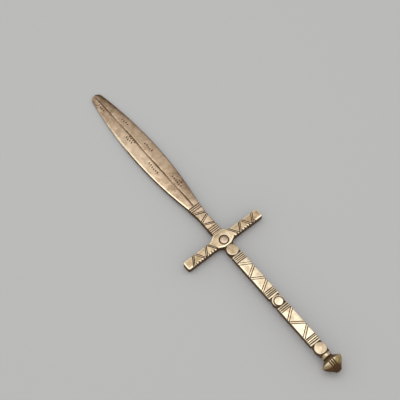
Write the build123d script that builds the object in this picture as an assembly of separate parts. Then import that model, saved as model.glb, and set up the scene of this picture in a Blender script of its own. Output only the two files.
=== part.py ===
from build123d import *
from math import copysign, hypot
import os

# Sword-shaped letter opener in solid brass, in millimetres.
# X runs along the blade to its tip, Y across the guard, Z up.
# The origin lies on the guard rivet's axis, in the flat back of the guard.

# Guard: a straight cross bar with an eight-sided hub, slimmer towards the handle
GUARD_LENGTH = 58.0
GUARD_WIDTH = 6.2
GUARD_THICKNESS = 5.0
GUARD_CORNER = 1.2
GUARD_FORWARD = 0.8
HUB_FRONT_LENGTH = 5.7
HUB_FRONT_FLAT = 7.0
HUB_FRONT_SPREAD = 15.0
HUB_BACK_LENGTH = 4.9
HUB_BACK_FLAT = 4.8
HUB_BACK_SPREAD = 11.8
NICK_PITCH = 2.0
NICK_WIDTH = 1.3
NICK_DEPTH = 0.9
GUARD_PLAIN_END = 3.6

# Shank: the engraved bar between guard and leaf
SHANK_LENGTH = 23.5
SHANK_FLARE_LENGTH = 8.0
SHANK_WIDTH = 6.6
SHANK_THICKNESS = 4.8

# Leaf: widest past its middle, of lens section, with ground edges and a line cut down each face
LEAF_LENGTH = 105.0
LEAF_WIDTH = 17.2
LEAF_ROOT_WIDTH = 8.6
LEAF_BELLY = 48.0
LEAF_TIP_RADIUS = 3.8
LEAF_ROOT_THICKNESS = 3.6
LEAF_BELLY_THICKNESS = 2.6
LEAF_TIP_THICKNESS = 1.3
LEAF_EDGE_DROP = 0.3
LEAF_EDGE_THICKNESS = 0.9
LEAF_EDGE_TAPER = 20.0
MIDLINE_WIDTH = 0.6
MIDLINE_DEPTH = 0.25

# Tang: flat through the guard, slimmer through the handle, round in the pommel
GUARD_TANG_WIDTH = 4.2
TANG_WIDTH = 2.4
TANG_THICKNESS = 2.6
TANG_END_DIAMETER = 2.2
TANG_END_LENGTH = 6.5

# Handle: beads with a round boss on each face, between engraved grip blocks
UPPER_GRIP_LENGTH = 34.6
LOWER_GRIP_LENGTH = 30.0
GRIP_WIDTH = 7.4
GRIP_THICKNESS = 5.0
BEAD_DIAMETER = 7.6
BEAD_LENGTH = 7.3
UPPER_BEAD_LENGTH = 8.1
LOWER_BEAD_LENGTH = 7.9
BEAD_THICKNESS = 5.2
BEAD_WEB_WIDTH = 6.8
BEAD_WEB_THICKNESS = 2.4
COLLAR_LENGTH = 2.6
COLLAR_DIAMETER = 6.8
COLLAR_BEVEL = 0.8

# Pommel: a turned double cone with groups of cuts on its back
POMMEL_LENGTH = 10.4
POMMEL_DIAMETER = 13.5
POMMEL_NECK_DIAMETER = 5.2
POMMEL_FRONT_LENGTH = 2.9
POMMEL_RIM_LENGTH = 0.5
POMMEL_END_DIAMETER = 4.4
POMMEL_END_DOME = 1.0
POMMEL_GROUP_COUNT = 4
POMMEL_CUT_COUNT = 3
POMMEL_CUT_PITCH = 1.3
POMMEL_CUT_TURN = 12.0
POMMEL_CUT_WIDTH = 0.7
POMMEL_CUT_DEPTH = 0.45

# Rivets: a button at the crossing, in a sunk ring, and a flat head on the middle bead
GUARD_RIVET_DIAMETER = 2.0
GUARD_RIVET_HEAD = 5.1
GUARD_RIVET_HEAD_HEIGHT = 0.8
GUARD_RIVET_RECESS = 6.6
GUARD_RIVET_RECESS_DEPTH = 0.5
BEAD_RIVET_DIAMETER = 1.2
BEAD_RIVET_HEAD = 5.3
BEAD_RIVET_HEAD_HEIGHT = 0.4
BEAD_RIVET_SETBACK = 0.7
RIVET_HEAD_BEVEL = 0.25

# Engraving: V cuts in bands of square lines and in double-stroke zigzags, on both faces
CUT_WIDTH = 0.66
CUT_DEPTH = 0.36
NARROW_STROKE_GAP = 1.1
GRIP_STROKE_GAP = 1.5
BAND_PITCH = 1.0
BAND_INSET = 1.0
SHANK_BAND_PITCH = 1.35
SHANK_BAND_INSET = 0.8
SHANK_FRONT_LINE_COUNT = 3
SHANK_BACK_LINE_COUNT = 4
UPPER_GRIP_FRONT_LINE_COUNT = 5
UPPER_GRIP_BACK_LINE_COUNT = 4
LOWER_GRIP_FRONT_LINE_COUNT = 3
LOWER_GRIP_BACK_LINE_COUNT = 4
GUARD_STROKE_COUNT = 4
SHANK_STROKE_COUNT = 3
UPPER_GRIP_STROKE_COUNT = 4
LOWER_GRIP_STROKE_COUNT = 3

# Small breaks and fits
EDGE_BREAK = 0.35
TANG_CLEARANCE = 0.1
RIVET_CLEARANCE = 0.05

AXIS_HEIGHT = GUARD_THICKNESS / 2
HUB_FRONT = GUARD_FORWARD + HUB_FRONT_LENGTH
HUB_BACK = GUARD_FORWARD - HUB_BACK_LENGTH
TANG_STEP = GUARD_FORWARD - GUARD_WIDTH / 2
LEAF_ROOT = HUB_FRONT + SHANK_LENGTH
SHANK_FLARE = LEAF_ROOT - SHANK_FLARE_LENGTH


def bar(x_front, x_back, width, thickness):
    """Square bar along the axis of the handle."""
    middle = Pos((x_front + x_back) / 2, 0, AXIS_HEIGHT)
    return middle * Box(x_front - x_back, width, thickness)


def tang_slot(x_front, x_back, width):
    """Slot that lets the tang pass a piece of the handle."""
    clear = 2 * TANG_CLEARANCE
    return bar(x_front, x_back, width + clear, TANG_THICKNESS + clear)


def upright_hole(x, diameter):
    """Rivet hole square to the faces, long enough to pass any piece."""
    return Pos(x, 0, AXIS_HEIGHT) * Cylinder(diameter / 2 + RIVET_CLEARANCE, 2 * GUARD_LENGTH)


def v_cut(start, end, outward, width, depth):
    """V cut from start to end whose mouth opens along outward."""
    start, end, outward = Vector(start), Vector(end), Vector(outward).normalized()
    run = end - start
    across = outward.cross(run.normalized())
    plane = Plane(origin=start, x_dir=across, z_dir=run)
    mouth = Polyline((0, -depth), (width, depth), (-width, depth), close=True)
    return extrude(plane * make_face(mouth), run.length)


def engrave(piece, strokes, thickness_at):
    """Cuts each stroke, a pair of (x, y) points, in both faces; thickness_at(x) places the faces."""
    cuts = []
    for start, end in strokes:
        for side in (1, -1):
            ends = [(x, y, AXIS_HEIGHT + side * thickness_at(x) / 2) for x, y in (start, end)]
            cuts.append(v_cut(*ends, (0, 0, side), CUT_WIDTH, CUT_DEPTH))
    return piece - cuts


def band(x_first, pitch, count, half_width):
    """Square lines from x_first, one pitch apart; a pitch below zero runs towards the pommel."""
    places = [x_first + pitch * line for line in range(count)]
    return [((x, -half_width), (x, half_width)) for x in places]


def zigzag(x_start, x_end, count, gap, half_width, first):
    """Double strokes from edge to edge, back and forth; first is the side (+1, -1) of x_start."""
    step = (x_end - x_start) / count
    lean = (step - copysign(gap, step)) / 2
    strokes = []
    for number in range(count):
        side = first * half_width * (-1) ** number
        middle = x_start + step * (number + 0.5)
        for place in (middle - gap / 2, middle + gap / 2):
            strokes.append(((place - lean, side), (place + lean, -side)))
    return strokes


def make_leaf():
    """Leaf outline with ground edges, trimmed out of a lens-section bar that thins to the tip."""
    half, root_half = LEAF_WIDTH / 2, LEAF_ROOT_WIDTH / 2
    belly = LEAF_ROOT + LEAF_BELLY
    tip_centre = LEAF_ROOT + LEAF_LENGTH - LEAF_TIP_RADIUS
    reach = tip_centre - belly
    side_radius = (reach**2 + half**2 - LEAF_TIP_RADIUS**2) / (2 * (half - LEAF_TIP_RADIUS))
    drop = side_radius - half
    grow = side_radius / hypot(reach, drop)
    meet_x, meet_y = belly + reach * grow, drop * grow - drop

    root_left, root_right = (LEAF_ROOT, root_half), (LEAF_ROOT, -root_half)
    behind_root = LEAF_ROOT - root_half
    outline = [
        TangentArc((belly, half), root_left, tangent=(-1, 0)),
        TangentArc((belly, half), (meet_x, meet_y), tangent=(1, 0)),
        ThreePointArc((meet_x, meet_y), (tip_centre + LEAF_TIP_RADIUS, 0), (meet_x, -meet_y)),
        TangentArc((belly, -half), (meet_x, -meet_y), tangent=(1, 0)),
        TangentArc((belly, -half), root_right, tangent=(-1, 0)),
        Polyline(root_right, (behind_root, -root_half), (behind_root, root_half), root_left),
    ]
    face = make_face(outline)
    edge = LEAF_EDGE_THICKNESS / 2
    ground = Pos(0, 0, edge) * extrude(face, LEAF_ROOT_THICKNESS / 2, taper=LEAF_EDGE_TAPER)
    blank = extrude(face, edge, both=True) + ground + ground.mirror(Plane.XY)
    blank = Pos(0, 0, AXIS_HEIGHT) * blank

    stations = [
        (LEAF_ROOT, LEAF_ROOT_THICKNESS),
        (belly, LEAF_BELLY_THICKNESS),
        (LEAF_ROOT + LEAF_LENGTH, LEAF_TIP_THICKNESS),
    ]
    lens = loft([lens_section(x, thickness) for x, thickness in stations])
    return blank & lens


def lens_section(x, thickness):
    """Lens across the blade at x, with the cut line in the middle of each face."""
    half, crown, lip = LEAF_WIDTH / 2, thickness / 2, MIDLINE_WIDTH / 2
    edge = crown - LEAF_EDGE_DROP
    mid_y = (half + lip) / 2
    mid_z = crown - (crown - edge) * (mid_y / half) ** 2
    face = [
        ThreePointArc((half, edge), (mid_y, mid_z), (lip, crown)),
        Line((lip, crown), (0, crown - MIDLINE_DEPTH)),
        Line((0, crown - MIDLINE_DEPTH), (-lip, crown)),
        ThreePointArc((-lip, crown), (-mid_y, mid_z), (-half, edge)),
    ]
    back = [line.mirror(Plane.XZ) for line in face]
    sides = [Line((half, edge), (half, -edge)), Line((-half, edge), (-half, -edge))]
    plane = Plane(origin=(x, 0, AXIS_HEIGHT), x_dir=(0, 1, 0), z_dir=(1, 0, 0))
    return plane * make_face(face + sides + back)


def shank_width(x):
    share = max(0, (x - SHANK_FLARE) / SHANK_FLARE_LENGTH)
    return SHANK_WIDTH + (LEAF_ROOT_WIDTH - SHANK_WIDTH) * share


def shank_thickness(x):
    share = (x - HUB_FRONT) / SHANK_LENGTH
    return SHANK_THICKNESS + (LEAF_ROOT_THICKNESS - SHANK_THICKNESS) * share


def make_shank():
    """Bar with broken edges that flares into the leaf, engraved on both faces."""
    sections = []
    for x in (HUB_FRONT, SHANK_FLARE, LEAF_ROOT):
        plane = Plane(origin=(x, 0, AXIS_HEIGHT), x_dir=(0, 1, 0), z_dir=(1, 0, 0))
        outline = Rectangle(shank_width(x), shank_thickness(x))
        sections.append(plane * chamfer(outline.vertices(), EDGE_BREAK))
    shank = loft(sections, ruled=True)
    overrun = LEAF_ROOT_WIDTH / 2
    first_line = HUB_FRONT + SHANK_BAND_INSET
    strokes = band(first_line, SHANK_BAND_PITCH, SHANK_BACK_LINE_COUNT, overrun)
    strokes += band(LEAF_ROOT - CUT_WIDTH, -SHANK_BAND_PITCH, SHANK_FRONT_LINE_COUNT, overrun)
    zigzag_back = first_line + (SHANK_BACK_LINE_COUNT - 0.5) * SHANK_BAND_PITCH
    zigzag_front = LEAF_ROOT - SHANK_FRONT_LINE_COUNT * SHANK_BAND_PITCH
    strokes += zigzag(zigzag_back, zigzag_front, SHANK_STROKE_COUNT, NARROW_STROKE_GAP, overrun, -1)
    return engrave(shank, strokes, shank_thickness)


def make_blade():
    """Leaf, shank and tang in one, drilled for the two rivets."""
    flat = bar(HUB_FRONT, TANG_STEP, GUARD_TANG_WIDTH, TANG_THICKNESS)
    slim = bar(TANG_STEP, POMMEL_FACE, TANG_WIDTH, TANG_THICKNESS)
    end_middle = Pos(POMMEL_FACE - TANG_END_LENGTH / 2, 0, AXIS_HEIGHT)
    end = end_middle * Rot(0, 90, 0) * Cylinder(TANG_END_DIAMETER / 2, TANG_END_LENGTH)
    blade = make_leaf() + make_shank() + flat + slim + end
    blade -= upright_hole(0, GUARD_RIVET_DIAMETER)
    return blade - upright_hole(BEAD_RIVET, BEAD_RIVET_DIAMETER)


def nick(y, side):
    """File nick across the guard's edge on the handle side, on the front (+1) or back (-1)."""
    out = Vector(-1, 0, side).normalized()
    along_file = out.cross(Vector(0, 1, 0))
    corner = Vector(GUARD_FORWARD - GUARD_WIDTH / 2, y, AXIS_HEIGHT + side * GUARD_THICKNESS / 2)
    reach = along_file * GUARD_WIDTH / 2
    return v_cut(corner - reach, corner + reach, out, NICK_WIDTH, NICK_DEPTH)


def make_guard():
    """Cross bar with hub, rivet seats, tang slot, nicked handle edges and engraved faces."""
    arm, hub_end = GUARD_WIDTH / 2, HUB_BACK_SPREAD / 2
    bar_outline = RectangleRounded(GUARD_WIDTH, GUARD_LENGTH, GUARD_CORNER)
    corners = [(HUB_FRONT_LENGTH, HUB_FRONT_FLAT / 2), (arm, HUB_FRONT_SPREAD / 2)]
    corners += [(-arm, hub_end), (-HUB_BACK_LENGTH, HUB_BACK_FLAT / 2)]
    corners += [(x, -y) for x, y in reversed(corners)]
    outline = bar_outline + make_face(Polyline(*corners, close=True))
    guard = Pos(GUARD_FORWARD, 0, 0) * extrude(outline, GUARD_THICKNESS)
    rims = guard.faces().sort_by(Axis.Z)
    guard = chamfer(rims[0].edges() + rims[-1].edges(), EDGE_BREAK)

    first, last = hub_end + NICK_PITCH / 2, GUARD_LENGTH / 2 - GUARD_PLAIN_END
    nicks = []
    for number in range(int((last - first) / NICK_PITCH) + 1):
        for arm_side in (1, -1):
            y = arm_side * (first + number * NICK_PITCH)
            nicks += [nick(y, 1), nick(y, -1)]
    guard -= nicks

    strokes = []
    for arm_side in (1, -1):
        for ends in zigzag(arm_side * hub_end, arm_side * last, GUARD_STROKE_COUNT, NARROW_STROKE_GAP,
                           arm, -arm_side):
            strokes.append([(GUARD_FORWARD + across, along) for along, across in ends])
    guard = engrave(guard, strokes, lambda x: GUARD_THICKNESS)

    seat = Cylinder(GUARD_RIVET_RECESS / 2, 2 * GUARD_RIVET_RECESS_DEPTH)
    guard -= seat + Pos(0, 0, GUARD_THICKNESS) * seat
    guard -= upright_hole(0, GUARD_RIVET_DIAMETER)
    guard -= tang_slot(HUB_FRONT, TANG_STEP - TANG_CLEARANCE, GUARD_TANG_WIDTH)
    return guard - tang_slot(TANG_STEP, HUB_BACK, TANG_WIDTH)


def rivet_head(diameter, height, seat):
    """Flat button with a bevelled rim that sits at a height above the axis."""
    head = Pos(0, 0, seat + height / 2) * Cylinder(diameter / 2, height)
    return chamfer(head.edges().group_by(Axis.Z)[-1], min(RIVET_HEAD_BEVEL, height / 2))


def make_rivet(x, diameter, seat_span, head, tail):
    """Rivet whose head and peened tail, each a (diameter, height), seat seat_span apart."""
    shank = Cylinder(diameter / 2, seat_span)
    top = rivet_head(*head, seat_span / 2)
    bottom = rivet_head(*tail, seat_span / 2).mirror(Plane.XY)
    return Pos(x, 0, AXIS_HEIGHT) * (shank + top + bottom)


def make_bead(x_front, length):
    """Block filed down at its corners to a web, with a round boss left on each face."""
    boss = Cylinder(BEAD_DIAMETER / 2, BEAD_THICKNESS)
    boss = chamfer(boss.edges().filter_by(GeomType.CIRCLE), EDGE_BREAK)
    boss &= Box(length, BEAD_DIAMETER, BEAD_THICKNESS)
    bead = boss + Box(length, BEAD_WEB_WIDTH, BEAD_WEB_THICKNESS)
    bead = Pos(x_front - length / 2, 0, AXIS_HEIGHT) * bead
    return bead - tang_slot(x_front, x_front - length, TANG_WIDTH)


def make_grip(x_front, length, front_lines, stroke_count, back_lines, first):
    """Block with broken corners, a band of lines at each end and a zigzag between."""
    x_back = x_front - length
    block = bar(x_front, x_back, GRIP_WIDTH, GRIP_THICKNESS)
    block = chamfer(block.edges(), EDGE_BREAK)
    overrun = GRIP_WIDTH / 2
    strokes = band(x_front - BAND_INSET, -BAND_PITCH, front_lines, overrun)
    strokes += band(x_back + BAND_INSET, BAND_PITCH, back_lines, overrun)
    zigzag_front = x_front - BAND_INSET - (front_lines - 1) * BAND_PITCH
    zigzag_back = x_back + BAND_INSET + back_lines * BAND_PITCH
    strokes += zigzag(zigzag_front, zigzag_back, stroke_count, GRIP_STROKE_GAP, overrun, first)
    block = engrave(block, strokes, lambda x: GRIP_THICKNESS)
    return block - tang_slot(x_front, x_back, TANG_WIDTH)


def make_collar():
    """Turned collar between the last bead and the pommel."""
    ring = Rot(0, 90, 0) * Cylinder(COLLAR_DIAMETER / 2, COLLAR_LENGTH)
    ring = chamfer(ring.edges().filter_by(GeomType.CIRCLE), COLLAR_BEVEL)
    ring = Pos(POMMEL_FACE + COLLAR_LENGTH / 2, 0, AXIS_HEIGHT) * ring
    return ring - tang_slot(POMMEL_FACE + COLLAR_LENGTH, POMMEL_FACE, TANG_WIDTH)


def make_pommel():
    """Turned double cone, bored for the end of the tang, with groups of cuts down its back."""
    rim, neck, end = POMMEL_DIAMETER / 2, POMMEL_NECK_DIAMETER / 2, POMMEL_END_DIAMETER / 2
    rim_front = POMMEL_FACE - POMMEL_FRONT_LENGTH
    rim_back = rim_front - POMMEL_RIM_LENGTH
    tip = POMMEL_FACE - POMMEL_LENGTH
    dome = tip + POMMEL_END_DOME
    profile = [
        Polyline((tip, 0), (POMMEL_FACE, 0), (POMMEL_FACE, neck), (rim_front, rim)),
        Polyline((rim_front, rim), (rim_back, rim), (dome, end)),
        TangentArc((tip, 0), (dome, end), tangent=(0, 1)),
    ]
    pommel = revolve(make_face(profile), Axis.X)

    slope = Vector(dome - rim_back, end - rim)
    cuts = []
    for group in range(POMMEL_GROUP_COUNT):
        for cut in range(POMMEL_CUT_COUNT):
            aside = (cut - (POMMEL_CUT_COUNT - 1) / 2) * POMMEL_CUT_PITCH
            angle = 90 - POMMEL_CUT_TURN + group * 360 / POMMEL_GROUP_COUNT
            line = v_cut((rim_back - slope.X, rim - slope.Y), (dome, end), (slope.Y, -slope.X),
                         POMMEL_CUT_WIDTH, POMMEL_CUT_DEPTH)
            cuts.append(Rot(angle, 0, 0) * Pos(0, 0, aside) * line)
    pommel -= cuts

    bore_length = TANG_END_LENGTH + TANG_CLEARANCE
    bore = Rot(0, 90, 0) * Cylinder(TANG_END_DIAMETER / 2 + TANG_CLEARANCE, bore_length)
    pommel -= Pos(POMMEL_FACE - bore_length / 2, 0, 0) * bore
    return Pos(0, 0, AXIS_HEIGHT) * pommel


# The handle's stack, from the back of the hub to the face of the pommel
UPPER_BEAD_FRONT = HUB_BACK
UPPER_GRIP_FRONT = UPPER_BEAD_FRONT - UPPER_BEAD_LENGTH
MIDDLE_BEAD_FRONT = UPPER_GRIP_FRONT - UPPER_GRIP_LENGTH
BEAD_RIVET = MIDDLE_BEAD_FRONT - BEAD_LENGTH / 2 - BEAD_RIVET_SETBACK
LOWER_GRIP_FRONT = MIDDLE_BEAD_FRONT - BEAD_LENGTH
LOWER_BEAD_FRONT = LOWER_GRIP_FRONT - LOWER_GRIP_LENGTH
POMMEL_FACE = LOWER_BEAD_FRONT - LOWER_BEAD_LENGTH - COLLAR_LENGTH

pieces = {
    "blade": make_blade(),
    "guard": make_guard(),
    "guard_rivet": make_rivet(0, GUARD_RIVET_DIAMETER, GUARD_THICKNESS - 2 * GUARD_RIVET_RECESS_DEPTH,
                              (GUARD_RIVET_HEAD, GUARD_RIVET_HEAD_HEIGHT),
                              (GUARD_RIVET_HEAD, GUARD_RIVET_RECESS_DEPTH)),
    "upper_bead": make_bead(UPPER_BEAD_FRONT, UPPER_BEAD_LENGTH),
    "upper_grip": make_grip(UPPER_GRIP_FRONT, UPPER_GRIP_LENGTH, UPPER_GRIP_FRONT_LINE_COUNT,
                            UPPER_GRIP_STROKE_COUNT, UPPER_GRIP_BACK_LINE_COUNT, 1),
    "middle_bead": (make_bead(MIDDLE_BEAD_FRONT, BEAD_LENGTH)
                    - upright_hole(BEAD_RIVET, BEAD_RIVET_DIAMETER)),
    "bead_rivet": make_rivet(BEAD_RIVET, BEAD_RIVET_DIAMETER, BEAD_THICKNESS,
                             (BEAD_RIVET_HEAD, BEAD_RIVET_HEAD_HEIGHT),
                             (BEAD_RIVET_HEAD, BEAD_RIVET_HEAD_HEIGHT)),
    "lower_grip": make_grip(LOWER_GRIP_FRONT, LOWER_GRIP_LENGTH, LOWER_GRIP_FRONT_LINE_COUNT,
                            LOWER_GRIP_STROKE_COUNT, LOWER_GRIP_BACK_LINE_COUNT, -1),
    "lower_bead": make_bead(LOWER_BEAD_FRONT, LOWER_BEAD_LENGTH),
    "pommel_collar": make_collar(),
    "pommel": make_pommel(),
}

os.makedirs("parts", exist_ok=True)
for name, piece in pieces.items():
    piece.label = name
    export_step(piece, f"parts/{name}.step")
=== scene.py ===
from math import atan2, copysign, cos, hypot, pi, radians, sin, sqrt
from random import Random

import bmesh
import bpy
from mathutils import Matrix, Vector
from mathutils.geometry import interpolate_bezier


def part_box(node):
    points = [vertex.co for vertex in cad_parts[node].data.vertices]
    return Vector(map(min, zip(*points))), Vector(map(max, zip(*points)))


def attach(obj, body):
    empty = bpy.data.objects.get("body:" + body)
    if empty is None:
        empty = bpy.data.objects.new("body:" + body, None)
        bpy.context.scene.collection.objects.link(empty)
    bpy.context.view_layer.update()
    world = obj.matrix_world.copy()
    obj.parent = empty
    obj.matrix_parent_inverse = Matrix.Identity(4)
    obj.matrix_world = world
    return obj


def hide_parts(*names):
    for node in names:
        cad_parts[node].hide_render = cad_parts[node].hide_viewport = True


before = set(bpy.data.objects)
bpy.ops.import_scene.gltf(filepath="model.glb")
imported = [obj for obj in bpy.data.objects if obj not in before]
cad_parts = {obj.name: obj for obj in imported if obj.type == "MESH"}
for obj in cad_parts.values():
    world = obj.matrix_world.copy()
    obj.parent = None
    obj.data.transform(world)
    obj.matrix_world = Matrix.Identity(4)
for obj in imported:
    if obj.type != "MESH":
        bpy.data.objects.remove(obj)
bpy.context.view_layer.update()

# Blade: a leaf, an engraved shank and a slim through tang, forged in one from brass bar.
# The leaf is filed to a flat lens with ground edges, a line is scraped down the middle of each
# face and rows of marks are punched beside it. The tang carries the guard and the whole handle.
MM = 0.001
MERGE_DISTANCE = 1e-7
guard_low, guard_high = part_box("guard")
blade_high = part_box("blade")[1]
POMMEL_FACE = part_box("pommel")[1].x
AXIS_HEIGHT = (guard_low.z + guard_high.z) / 2
HUB_FRONT = guard_high.x

SHANK_LENGTH = 23.5 * MM
SHANK_FLARE_LENGTH = 8 * MM
SHANK_WIDTH = 6.6 * MM
SHANK_THICKNESS = 4.8 * MM
SHANK_ROUNDING = 0.5 * MM
LEAF_ROOT = HUB_FRONT + SHANK_LENGTH
LEAF_TIP = blade_high.x
LEAF_BELLY = LEAF_ROOT + 48 * MM
LEAF_HALF_WIDTH = blade_high.y
LEAF_ROOT_HALF_WIDTH = 4.3 * MM
LEAF_TIP_RADIUS = 3.8 * MM
LEAF_ROOT_CROWN = 1.8 * MM
LEAF_BELLY_CROWN = 1.3 * MM
LEAF_TIP_CROWN = 0.65 * MM
LEAF_ROUNDING = 0.045
GROUND_WIDTH = 1.1 * MM
GROUND_DROP = 0.11 * MM
LEAF_EDGE = 0.45 * MM
LEAF_EDGE_BEVEL = 0.35 * MM
LEAF_ROWS = 400
LEAF_COLUMNS = 30
MIDLINE_HALF_WIDTH = 0.32 * MM
MIDLINE_DEPTH = 0.28 * MM
MIDLINE_SHOULDER = 1.0 * MM
MIDLINE_SHOULDER_DROP = 0.1 * MM
MIDLINE_WANDER = 0.14 * MM
MIDLINE_WANDER_LENGTH = 9 * MM
MIDLINE_PATINA = 0.55
MIDLINE_PATINA_SPREAD = 0.35
MIDLINE_LIP_PATINA = 0.25
MIDLINE_PATCH = 4.6 * MM
MIDLINE_END = LEAF_TIP - 2 * MM
GUARD_TANG_WIDTH = 4.2 * MM
TANG_STEP = -2.3 * MM
TANG_WIDTH = 2.4 * MM
TANG_THICKNESS = 2.6 * MM
TANG_ROUNDING = 0.2 * MM
TANG_END_DIAMETER = 2.2 * MM
TANG_END_LENGTH = 6.5 * MM
TANG_END_STEPS = 32
ROUNDING_STEPS = 4

CUT_WIDTH = 0.66 * MM
FINE_CUT_WIDTH = 0.6 * MM
CUT_DEPTH = 0.36 * MM
CUT_SPREAD = 0.2
CUT_FACING = 0.15
BURR_WIDTH = 0.25 * MM
# Lips beside cuts: rubbed bright and given a painted highlight.
BURR_RUB_AND_HIGHLIGHT = 0.55
CUT_PATINA = 1.5
LIP_SHARE = 0.02
HAND_SLIP = 0.09 * MM
NARROW_STROKE_GAP = 1.1 * MM
SHANK_BAND_PITCH = 1.35 * MM
SHANK_BAND_INSET = 0.8 * MM
SHANK_BACK_LINE_COUNT = 4
SHANK_FRONT_LINE_COUNT = 3
SHANK_STROKE_COUNT = 3

MARK_HALF_LENGTH = 0.95 * MM
MARK_HALF_WIDTH = 0.52 * MM
MARK_DEPTH = 0.16 * MM
MARK_PATINA = 0.75
MARK_SLANT = 0.35
MARK_PITCH = 1.75 * MM
MARK_SLIP = 0.35 * MM
MARK_SIZES = (0.7, 1.1)
PUNCHED_ROWS = [
    (45 * MM, 55 * MM, -2.5 * MM),
    (47 * MM, 51 * MM, -4.4 * MM),
    (62 * MM, 72 * MM, 2.9 * MM),
    (77 * MM, 86 * MM, -3.9 * MM),
    (90 * MM, 97 * MM, 2.6 * MM),
    (89 * MM, 96 * MM, 0.7 * MM),
    (102.5 * MM, 109.5 * MM, -3.5 * MM),
    (121 * MM, 128 * MM, 2.0 * MM),
]

hand = Random(12)


def slip():
    return hand.uniform(-HAND_SLIP, HAND_SLIP)


def band(x_first, pitch, count, reach):
    """Lines square across a bar, a pitch apart, each a little out of true."""
    places = [x_first + pitch * line for line in range(count)]
    return [((x + slip(), -reach), (x + slip(), reach)) for x in places]


def zigzag(x_start, x_end, count, gap, reach, first):
    """Double strokes from edge to edge, back and forth; first is the side (+1, -1) of x_start."""
    step = (x_end - x_start) / count
    lean = (step - copysign(gap, step)) / 2
    strokes = []
    for number in range(count):
        side = first * reach * (-1) ** number
        middle = x_start + step * (number + 0.5)
        for place in (middle - gap / 2, middle + gap / 2):
            strokes.append(((place - lean + slip(), side), (place + lean + slip(), -side)))
    return strokes


def new_blank():
    """Empty mesh whose points say how much patina a cut holds there, or below 0 a rubbed lip with a
    painted highlight.
    """
    bm = bmesh.new()
    bm.verts.layers.float.new("cut")
    return bm


def points_of(geometry):
    return [part for part in geometry if isinstance(part, bmesh.types.BMVert)]


def soften(bm, edges, rounding):
    bmesh.ops.bevel(bm, geom=edges, offset=rounding, segments=ROUNDING_STEPS, profile=0.5,
                    affect="EDGES", material=-1)


def add_bar(bm, sections):
    """Square bar along the axis through sections of (x, width, thickness); gives its long edges.
    The faces inside, where two sections meet, are left out."""
    x, width, thickness = sections[0]
    end = Matrix.Translation((x, 0, AXIS_HEIGHT)) @ Matrix.Rotation(pi / 2, 4, "Y")
    end = end @ Matrix.Diagonal((thickness, width, 1, 1))
    corners = bmesh.ops.create_grid(bm, x_segments=1, y_segments=1, size=0.5, matrix=end)["verts"]
    cap = corners[0].link_faces[0]
    long_edges = []
    for x, width, thickness in sections[1:]:
        moved = bmesh.ops.extrude_face_region(bm, geom=[cap, *cap.edges, *cap.verts])["geom"]
        cap = next(part for part in moved if isinstance(part, bmesh.types.BMFace))
        for corner in points_of(moved):
            z = AXIS_HEIGHT + copysign(thickness / 2, corner.co.z - AXIS_HEIGHT)
            corner.co = (x, copysign(width / 2, corner.co.y), z)
            long_edges += [edge for edge in corner.link_edges if edge not in cap.edges[:]]
    bmesh.ops.recalc_face_normals(bm, faces=bm.faces)
    return long_edges


def split(bm, faces, point, normal):
    """Cuts faces along a plane."""
    edges = {edge for face in faces for edge in face.edges}
    verts = {vert for face in faces for vert in face.verts}
    bmesh.ops.bisect_plane(bm, geom=[*faces, *edges, *verts], dist=MERGE_DISTANCE,
                           plane_co=point, plane_no=normal)
    bm.normal_update()


def engrave(bm, strokes, width, rub_and_highlight, side, level, within=lambda face: True):
    """Files V cuts along strokes, pairs of (x, y) points, into the face on that side (+1, -1).
    Their lips are rubbed bright with a painted highlight; level(x) is the face's height above the
    axis, and within picks faces."""
    bm.normal_update()
    cuts = []
    for start, end in strokes:
        start, run = Vector(start), Vector(end) - Vector(start)
        length = run.length
        run.normalize()
        across = Vector((-run.y, run.x))
        half_width = width / 2 * hand.uniform(1 - CUT_SPREAD, 1 + CUT_SPREAD)
        depth = CUT_DEPTH * hand.uniform(1 - CUT_SPREAD, 1 + CUT_SPREAD)
        places = [-half_width, 0, half_width]
        if rub_and_highlight:
            places += [-half_width - BURR_WIDTH, half_width + BURR_WIDTH]
        for offset in places:
            faces = [face for face in bm.faces
                     if face.normal.z * side > CUT_FACING and within(face)]
            split(bm, faces, (start + across * offset).to_3d(), across.to_3d())
        cuts.append((start, run, across, length, half_width, depth))

    layer = bm.verts.layers.float["cut"]
    for vert in bm.verts:
        for start, run, across, length, half_width, depth in cuts:
            place = vert.co.xy - start
            share = 1 - abs(place.dot(across)) / half_width
            floor = level(vert.co.x) - depth * share
            drop = (vert.co.z - AXIS_HEIGHT) * side - floor
            on_stroke = -width < place.dot(run) < length + width
            if not on_stroke or vert.co.z * side < AXIS_HEIGHT * side:
                continue
            if share > LIP_SHARE and drop > 0:
                vert.co.z -= side * drop
                vert[layer] = max(vert[layer], CUT_PATINA * drop / depth)
            elif abs(share) <= LIP_SHARE and vert[layer] == 0:
                vert[layer] = -rub_and_highlight


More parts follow.
